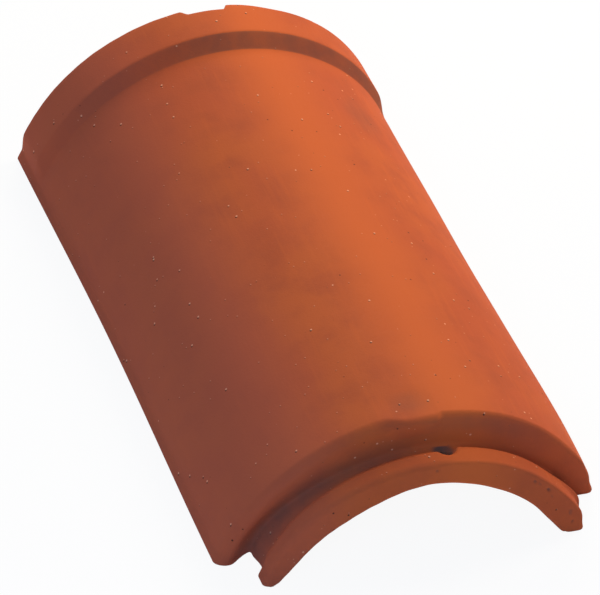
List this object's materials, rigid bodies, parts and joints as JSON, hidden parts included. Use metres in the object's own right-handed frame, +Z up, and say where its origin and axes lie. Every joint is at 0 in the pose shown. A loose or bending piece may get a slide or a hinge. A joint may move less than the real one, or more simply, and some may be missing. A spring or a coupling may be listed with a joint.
{
  "type": "ridge tile",
  "caption": "Half-round fired-clay ridge tile with a stepped collar at one end and a grooved, rimmed spigot at the other, for capping a roof ridge in an overlapping run.",
  "frame": {"origin": "middle of the footprint on the plane the two feet stand on", "axes": "+X across the tile, +Y along it from the spigot to the collar, +Z up from the feet to the crown"},
  "size_m": [0.255, 0.444, 0.107],
  "materials": {
    "fired_clay": "matte unglazed fired clay, orange-red, with fine pale grit and small pits"
  },
  "bodies": {
    "root": {"ridge_tile": "fired_clay"}
  },
  "joints": []
}
